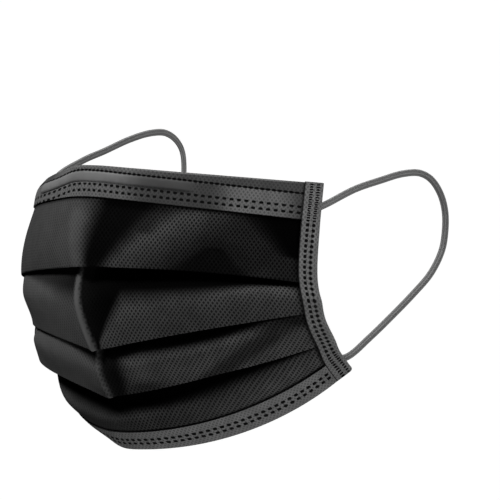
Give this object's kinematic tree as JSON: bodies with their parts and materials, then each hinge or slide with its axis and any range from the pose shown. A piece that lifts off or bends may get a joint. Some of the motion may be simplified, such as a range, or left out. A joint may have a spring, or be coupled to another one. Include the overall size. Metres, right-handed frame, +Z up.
{
  "type": "surgical mask",
  "caption": "Pleated face mask in its worn form, hollow behind for nose, mouth and chin, with folded hems, bound sides and elastic ear loops.",
  "frame": {"origin": "the inner face of the top hem at the middle of the mask, where it sits on the bridge of the nose", "axes": "+X towards the wearer's left ear, +Y towards the wearer's face, +Z up"},
  "size_m": [0.1436, 0.1355, 0.1121],
  "materials": {
    "cloth": "matt black nonwoven with a fine embossed diamond pattern",
    "trim": "matt mid-grey nonwoven strip with welded dots",
    "elastic": "matt mid-grey knitted elastic",
    "wire": "plain flat strip, hidden in the hem"
  },
  "bodies": {
    "root": {"pleated_panel": "cloth", "top_hem": "trim", "bottom_hem": "trim", "nose_wire": "wire", "side_binding_left": "trim", "side_binding_right": "trim", "ear_loop_left": "elastic", "ear_loop_right": "elastic"}
  },
  "joints": []
}
